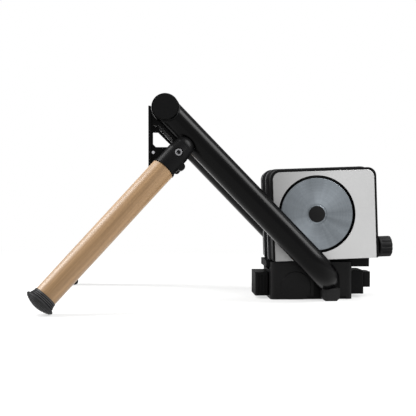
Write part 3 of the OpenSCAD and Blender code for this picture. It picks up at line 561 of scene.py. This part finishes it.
def turned(name, origin, axis, profile, count, uvName=None, flute=None, ridges=None):
    # P(a, t) = origin + along(t) * axis + r(t) * (cos a * e1 + sin a * e2), profile being the pairs of
    # r and along, and flute(a, t) a scale on r
    axis, first, second = crossFrame(axis)
    profile = np.array(profile, float)
    angle = np.linspace(0, 2 * np.pi, count, endpoint=False)[:, None]
    radius = np.broadcast_to(profile[:, 0], (count, len(profile)))
    if flute is not None:
        radius = radius * flute(angle, profile)
    spoke = np.cos(angle)[..., None] * first + np.sin(angle)[..., None] * second
    points = np.array(origin, float) + profile[:, 1][None, :, None] * axis + radius[..., None] * spoke
    return closePoles(gridPiece(name, points, uvName=uvName, ridges=ridges))


def closePoles(piece, gap=1e-6):
    # joins the doubled points where a turned profile meets its axis
    shape = bmesh.new()
    shape.from_mesh(piece.data)
    bmesh.ops.remove_doubles(shape, verts=shape.verts, dist=gap)
    bmesh.ops.recalc_face_normals(shape, faces=shape.faces)
    shape.to_mesh(piece.data)
    shape.free()
    return piece


def bevelled(corners, size, steps=4, most=0.45):
    # rounds each inner corner of an (r, along) outline with a short arc drawn as a quadratic curve, which
    # takes at most that share of the lines on both sides
    corners = np.array(corners, float)
    path = [corners[0]]
    for before, corner, after in zip(corners[:-2], corners[1:-1], corners[2:]):
        back, ahead = before - corner, after - corner
        reach = min(size, most * np.linalg.norm(back), most * np.linalg.norm(ahead))
        start = corner + back / np.linalg.norm(back) * reach
        end = corner + ahead / np.linalg.norm(ahead) * reach
        t = np.linspace(0, 1, steps + 1)[:, None]
        path.extend((1 - t) ** 2 * start + 2 * t * (1 - t) * corner + t ** 2 * end)
    path.append(corners[-1])
    return np.array(path)


def finishPiece(piece, material, body, slotName, *standsFor):
    piece.data.materials.clear()
    piece.data.materials.append(material)
    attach(piece, body)
    if standsFor:
        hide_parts(*standsFor)
    return piece


cadFinish = {
    "satinBlackPaint": ["frame_tube", "left_clamp_housing", "right_clamp_housing", "lever_clevis",
                        "clamp_lever"],
    "bracketBlackPaint": ["left_leg_bracket", "right_leg_bracket", "unit_chassis", "front_end_block",
                          "rear_end_block", "rear_end_cap", "crossbar_saddle"],
    "grainedKnob": ["tension_knob"],
    "clampKnob": ["left_adjuster_knob"],
    "anodisedSocket": ["left_leg_socket", "right_leg_socket"],
    "basePlastic": ["base_housing"],
    "shellPlastic": ["near_shell", "far_shell", "rear_bridge", "power_inlet"],
    "footRubber": ["frame_pads", "left_rubber_foot", "right_rubber_foot"],
    "magnetPaint": ["magnet_carrier", "hub_cap"],
    "boardGreen": ["circuit_board"],
    "zincSteel": ["bracket_rivets", "lever_pin", "cup_key_screws", "saddle_screws", "unit_pivot_pin",
                  "shell_screws", "return_spring", "tension_post", "tension_screw"],
    "boltSteel": ["left_hinge_bolt", "right_hinge_bolt", "left_stop_pin", "right_stop_pin"],
    "turnedSteel": ["left_axle_cup", "right_axle_cup", "roller_shaft", "roller", "flywheel",
                    "shaft_bearings"],
    "plateSteel": ["near_bearing_plate", "far_bearing_plate"],
    "milledAluminium": ["brake_rotor"],
    "turnedBrass": ["tension_nut"],
}


def legAxes(joint):
    # across (level), along the hinge, and up the leg, from the hinge's axis
    hinge = np.array(joint["axis"], float)
    hinge = -hinge if hinge[2] > 0 else hinge
    level = np.array([-hinge[2], 0, hinge[0]]) / math.hypot(hinge[0], hinge[2])
    up = np.cross(level, hinge)
    return level, hinge, up if up[2] > 0 else -up


# the recess colour is painted shade at the floor of the hex recess
boltLook = {"faceAt": 0.0216, "floorAt": 0.0206, "recess": (0.012, 0.012, 0.013, 1)}


def paintRecessShade(side):
    # painted shade: the bolt's hex recess is darkened by depth, measured along the hinge from its centre
    joint = joints[side + "_leg_fold"]
    outward = legAxes(joint)[1]
    outward = outward if outward[1] * joint["pos_m"][1] > 0 else -outward
    tree = nodes[side + "_hinge_bolt"].data.materials[0].node_tree
    colour = tree.nodes["Principled BSDF"].inputs["Base Color"]
    away = vectorNode(tree, "SUBTRACT", objectPlace(tree), tuple(joint["pos_m"])).outputs[0]
    along = vectorNode(tree, "DOT_PRODUCT", away, tuple(outward)).outputs["Value"]
    height = spread(tree, along, 0.0, 1.0, boltLook["floorAt"], boltLook["faceAt"])
    plain = colour.links[0].from_socket
    tree.links.new(mixColour(tree, height, boltLook["recess"], plain), colour)


# the groove colour is painted shade, the ridge colour painted light, and shine scales the sheen from groove
# to ridge
ribLightAndShade = {"grooveShade": (0.0012, 0.0012, 0.0013, 1), "ridge": (0.026, 0.026, 0.027, 1), "shine": (0.1, 2.0)}


def ribbedRubber():
    # painted shade and light: the grooves are painted dark as shade and the ridges lighter as lit, with the
    # sheen cut in the grooves and raised on the ridges, by the mesh's own ridge value from 0 to 1
    material = paintMaterial("ribbedRubber", paintLooks["footRubber"])
    tree = material.node_tree
    shader = tree.nodes["Principled BSDF"]
    ridge = addNode(tree, "Attribute", attribute_name="ridge").outputs["Fac"]
    tree.links.new(mixColour(tree, ridge, ribLightAndShade["grooveShade"], ribLightAndShade["ridge"]), shader.inputs["Base Color"])
    shine = shader.inputs["Specular IOR Level"]
    share = spread(tree, ridge, *ribLightAndShade["shine"], 0.0, 1.0)
    tree.links.new(mathNode(tree, "MULTIPLY", shine.links[0].from_socket, share), shine)
    return material


def middle(node):
    low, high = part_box(node)
    return (low + high) / 2


def finishNodes():
    for finish, members in cadFinish.items():
        paint = paintMaterial(finish, paintLooks[finish]) if finish in paintLooks else None
        for member in members:
            if not paint:  # each turned piece has rings about its own middle
                metal = turnedMaterial(f"{finish}_{member}", metalLooks[finish], middle(member))
            giveMaterial(nodes[member], paint or metal)
    giveMaterial(nodes["silver_face"], silverFaceMaterial())
    for side in ("left", "right"):
        level, hinge, up = legAxes(joints[side + "_leg_fold"])
        turn = Matrix(np.array([level, np.cross(up, level), up]).T.tolist()).to_euler()
        giveMaterial(nodes[side + "_wooden_leg"], woodMaterial(side + "Beech", turn))
        paintRecessShade(side)


def giveMaterial(piece, material):
    if not piece.data.materials:
        piece.data.materials.append(material)
    for index in range(len(piece.material_slots)):
        piece.material_slots[index].link = "DATA"
        piece.material_slots[index].material = material


finishNodes()
print("finishes are on the CAD pieces")


# pieces with the rounded forms that the plain solids leave out

legSizes = {"woodTop": -0.0368, "woodEnd": -0.36355, "topRadius": 0.0225, "endRadius": 0.02125,
            "boreRadius": 0.0154, "boreEnd": -0.0725, "edge": 0.0012, "steps": 96}


def woodenLeg(side):
    # a closed outline turned about the leg: tapered outside, rounded ends, a bore for the spigot
    s = legSizes
    joint = joints[side + "_leg_fold"]
    up = legAxes(joint)[2]
    outline = bevelled([(0, s["woodEnd"]), (s["endRadius"], s["woodEnd"]), (s["topRadius"], s["woodTop"]),
                        (s["boreRadius"], s["woodTop"]), (s["boreRadius"], s["boreEnd"]),
                        (0, s["boreEnd"])], s["edge"])
    piece = turned(side + "TurnedLeg", joint["pos_m"], up, outline, s["steps"])
    material = nodes[side + "_wooden_leg"].data.materials[0]
    finishPiece(piece, material, side + "_leg", "wood", side + "_wooden_leg")


footSizes = {"rimAt": -0.36705, "rim": 0.0285, "crown": 0.0078, "collar": 0.0224, "top": -0.34955,
             "floor": -0.36375, "inside": 0.02155, "ribDepth": 0.0013, "ribPitch": 0.0043,
             "plainEdge": 0.0026, "lip": 0.0026, "rings": 3, "ringDepth": 0.0010, "power": 1.3,
             "flareFrom": 0.04, "edge": 0.0009, "steps": 128, "stepsAlong": 120}


def rubberFoot(side):
    # the sole is a parabola with cosine ribs in it; the flare is a power of what is left to the collar,
    # less rings that follow a squared cosine
    s = footSizes
    joint = joints[side + "_leg_fold"]
    r = np.linspace(0, s["rim"] - s["plainEdge"], s["stepsAlong"])
    ribs = 0.5 + 0.5 * np.cos(2 * np.pi * r / s["ribPitch"])
    crown = s["crown"] * (1 - (r / s["rim"]) ** 2)
    sole = np.stack([r, s["rimAt"] - crown + s["ribDepth"] * (1 - ribs)], axis=1)
    turn = np.linspace(-0.5, 0.5, 9) * np.pi
    lip = np.stack([s["rim"] - s["lip"] * (1 - np.cos(turn)),
                    s["rimAt"] + s["lip"] * (1 + np.sin(turn))], axis=1)
    h = np.linspace(s["flareFrom"], 1, s["stepsAlong"])
    rings = np.cos(np.pi * s["rings"] * h) ** 2
    cut = s["ringDepth"] * (1 - h) * (1 - rings)
    flare = np.stack([s["collar"] + (s["rim"] - s["lip"] - s["collar"]) * (1 - h) ** s["power"] - cut,
                      s["rimAt"] + 2 * s["lip"] + (s["top"] - s["rimAt"] - 3 * s["lip"]) * h], axis=1)
    mouth = bevelled([flare[-1], (s["collar"], s["top"]), (s["inside"], s["top"]), (s["inside"], s["floor"]),
                      (0, s["floor"])], s["edge"])
    outline = np.concatenate([sole, lip, flare, mouth[1:]])
    # the lip and the mouth are neither ridge nor groove
    ridges = np.concatenate([ribs, np.full(len(lip), 0.5), rings, np.full(len(mouth) - 1, 0.5)])
    up = legAxes(joint)[2]
    piece = turned(side + "RibbedFoot", joint["pos_m"], up, outline, s["steps"], ridges=ridges)
    points = np.empty(3 * len(piece.data.vertices))
    piece.data.vertices.foreach_get("co", points)
    points = points.reshape(-1, 3)
    points[:, 2] = np.maximum(points[:, 2], 0)  # the rubber lies flat where it meets the ground
    piece.data.vertices.foreach_set("co", points.ravel())
    piece.data.update()
    finishPiece(piece, footMaterial, side + "_leg", "rubber", side + "_rubber_foot")


wheelSizes = {"near": -0.0755, "far": -0.0555, "radius": 0.0713, "bore": 0.0063, "bevel": 0.0015,
              "grooveIn": 0.017, "grooveOut": 0.020, "grooveDepth": 0.0008, "slope": 0.0003,
              "edge": 0.0003, "edgeSteps": 3, "steps": 192}
capSizes = {"seat": -0.0758, "rim": -0.0772, "face": -0.0781, "radius": 0.016, "faceIn": 0.0008,
            "edge": 0.0004, "faceSteps": 24, "steps": 96}


def rollerCentre():
    x, _, z = joints["roller_spin"]["pos_m"]
    return np.array([x, 0, z])


def spunFlywheel():
    # a closed outline turned about the shaft: both rims bevelled, a shallow ring cut round the centre
    s = wheelSizes
    grooveFloor = s["near"] + s["grooveDepth"]
    corners = [(s["bore"], s["near"]), (s["grooveIn"], s["near"]), (s["grooveIn"] + s["slope"], grooveFloor),
               (s["grooveOut"] - s["slope"], grooveFloor), (s["grooveOut"], s["near"]),
               (s["radius"] - s["bevel"], s["near"]), (s["radius"], s["near"] + s["bevel"]),
               (s["radius"], s["far"] - s["bevel"]), (s["radius"] - s["bevel"], s["far"]),
               (s["bore"], s["far"]), (s["bore"], s["near"])]
    outline = bevelled(corners, s["edge"], s["edgeSteps"])
    piece = turned("spunFlywheel", rollerCentre(), (0, 1, 0), outline, s["steps"], uvName="turned")
    finishPiece(piece, flywheelMaterial(rollerCentre()), "rotor", "flywheel_steel", "flywheel")


def hubCap():
    # a low dome: the face rises from the rim as one less the square of the radius
    s = capSizes
    r = np.linspace(1, 0, s["faceSteps"])
    rise = (s["face"] - s["rim"]) * (1 - r ** 2)
    dome = np.stack([(s["radius"] - s["faceIn"]) * r, s["rim"] + rise], axis=1)
    side = bevelled([(0, s["seat"]), (s["radius"], s["seat"]), (s["radius"], s["rim"] + s["edge"]), dome[0]],
                    s["edge"])
    outline = np.concatenate([side, dome[1:]])
    piece = turned("hubCap", rollerCentre(), (0, 1, 0), outline, s["steps"])
    finishPiece(piece, nodes["hub_cap"].data.materials[0], "rotor", "hub_grey", "hub_cap")


knobSizes = {"radius": 0.021, "bore": 0.0043, "boreDepth": 0.014, "flutes": 12, "fluteDepth": 0.075,
             "fluteFrom": 0.003, "fluteFull": 0.006, "fluteOver": 0.6, "sharpness": 6, "foot": 0.0012,
             "shoulder": 0.0025, "shoulderIn": 0.0035, "endDrop": 0.0004, "endIn": 0.0045, "endSteps": 14,
             "edge": 0.0013, "crown": 0.0008, "steps": 288}


def tensionKnob():
    # r = R * (1 - depth * share(along) * |cos(6 a)|^6): twelve grooves that fade out at the collar end
    s = knobSizes
    joint = joints["tension_turn"]
    axis = np.array(joint["axis"], float)
    low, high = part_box("tension_knob")
    # the box of a disc tilted by a small angle is wider than its length by 2 R sin(angle)
    reach = (high.x - low.x - 2 * s["radius"] * abs(axis[2])) / abs(axis[0])
    start = np.array(middle("tension_knob")) - axis * reach / 2
    r = np.linspace(1, 0, s["endSteps"])
    end = np.stack([(s["radius"] - s["endIn"]) * r, reach - s["crown"] * r ** 2], axis=1)
    corners = [(0, s["boreDepth"]), (s["bore"], s["boreDepth"]), (s["bore"], 0), (s["radius"] - s["foot"], 0)]
    corners += [(s["radius"], along) for along in (s["foot"], s["fluteFrom"], s["fluteFull"], reach / 2,
                                                   reach - s["shoulder"])]
    corners += [(s["radius"] - s["shoulderIn"], reach - s["endDrop"]), end[0]]
    outline = np.concatenate([bevelled(corners, s["edge"]), end[1:]])

    def grooves(angle, profile):
        share = np.clip((profile[:, 1] - s["fluteFrom"]) / (s["fluteFull"] - s["fluteFrom"]), 0, 1)
        share = share * (profile[:, 0] > s["fluteOver"] * s["radius"])  # the bore stays round
        return 1 - s["fluteDepth"] * share * np.abs(np.cos(0.5 * s["flutes"] * angle)) ** s["sharpness"]

    piece = turned("flutedKnob", start, axis, outline, s["steps"], flute=grooves)
    finishPiece(piece, nodes["tension_knob"].data.materials[0], "tension", "textured_plastic", "tension_knob")


beadSizes = {"tube": 0.025, "housing": 0.0255, "radius": 0.0021, "sink": 0.0006, "ripple": 0.10,
             "ripples": 74, "around": 14, "along": 592, "arm": 0.105}


def weldBead(name, side):
    # two round tubes meet at sqrt(H^2 - T^2 sin^2 t) along the arm; a rippled round is carried on that line
    s = beadSizes
    tube = np.array(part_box("frame_tube"))
    axle = np.array(joints["lever_open"]["pos_m"]) * (1, 0, 1)
    foot = np.array([tube[1][0] - s["tube"], 0, tube[0][2] + s["tube"]])
    arm = (foot - axle) / np.linalg.norm(foot - axle)
    across = np.array([-arm[2], 0, arm[0]])
    t = np.linspace(0, 2 * np.pi, s["along"], endpoint=False)[:, None]
    reach = np.sqrt(s["housing"] ** 2 - (s["tube"] * np.sin(t)) ** 2)
    outward = np.cos(t) * np.array([0, side, 0]) + np.sin(t) * across
    line = axle + np.array([0, side * s["arm"], 0])
    line = line + arm * (reach + s["sink"]) + outward * (s["tube"] - s["sink"])
    ahead = np.roll(line, -1, axis=0) - np.roll(line, 1, axis=0)
    ahead /= np.linalg.norm(ahead, axis=1, keepdims=True)
    first = np.cross(ahead, outward)
    first /= np.linalg.norm(first, axis=1, keepdims=True)
    second = np.cross(ahead, first)
    a = np.linspace(0, 2 * np.pi, s["around"], endpoint=False)
    radius = s["radius"] * (1 + s["ripple"] * np.abs(np.sin(0.5 * s["ripples"] * t)))
    points = line + radius * (np.cos(a)[:, None, None] * first + np.sin(a)[:, None, None] * second)
    piece = closePoles(gridPiece(name, points, closeV=True))
    finishPiece(piece, nodes["frame_tube"].data.materials[0], "frame", "frame_black")


footMaterial = ribbedRubber()
for side in ("left", "right"):
    woodenLeg(side)
    rubberFoot(side)
spunFlywheel()
hubCap()
tensionKnob()
weldBead("leftWeldBead", -1)
weldBead("rightWeldBead", 1)
print("rounded pieces are in place")
